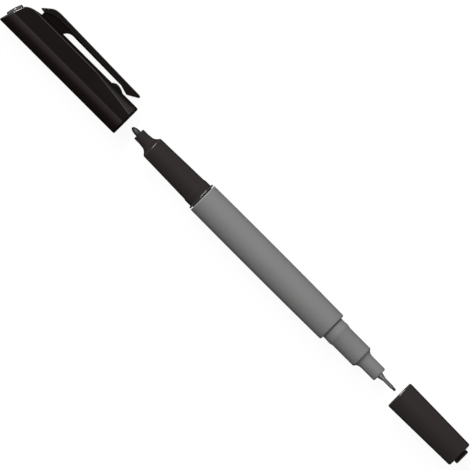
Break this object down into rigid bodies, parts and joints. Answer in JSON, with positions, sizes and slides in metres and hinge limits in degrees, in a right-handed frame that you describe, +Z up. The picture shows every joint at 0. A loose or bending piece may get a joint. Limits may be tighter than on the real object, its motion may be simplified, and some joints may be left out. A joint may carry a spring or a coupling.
{
  "type": "twin-tip permanent marker",
  "caption": "Slim marker with a bullet nib at one end and a needle nib at the other; a long cap with a pocket clip and a short tapered cap, both drawn off along its axis.",
  "frame": {"origin": "middle of the marker's footprint, on the surface it lies on", "axes": "+X along the marker's axis from the bullet end to the fine end, +Y towards the pocket clip's side, +Z up"},
  "size_m": [0.1982, 0.0148, 0.0108],
  "materials": {
    "barrel_grey": "smooth satin moulding",
    "black_moulding": "smooth satin moulding",
    "black_gloss": "polished moulding",
    "nib_fibre": "ink-soaked pressed fibre",
    "needle_steel": "drawn tube",
    "seal_plastic": "natural moulding",
    "reservoir_fibre": "ink-soaked fibre",
    "film": "thin wrapped film"
  },
  "bodies": {
    "marker": {"barrel": "barrel_grey", "bullet_section": "black_moulding", "bullet_nib": "nib_fibre", "fine_section": "barrel_grey", "needle_sleeve": "needle_steel", "fine_nib": "nib_fibre", "fine_nib_holder": "seal_plastic", "ink_reservoir": "reservoir_fibre", "reservoir_film": "film"},
    "bullet_cap_set": {"bullet_cap": "black_moulding", "bullet_cap_plug": "black_gloss", "bullet_cap_seal": "seal_plastic"},
    "fine_cap_set": {"fine_cap": "black_moulding", "fine_cap_plug": "black_moulding", "fine_cap_seal": "seal_plastic"}
  },
  "joints": [
    {"name": "bullet_cap_slide", "type": "slide", "parent": "marker", "child": "bullet_cap_set", "axis": [1, 0, 0], "range_m": [0, 0.0327]},
    {"name": "fine_cap_slide", "type": "slide", "parent": "marker", "child": "fine_cap_set", "axis": [-1, 0, 0], "range_m": [0, 0.028]}
  ]
}
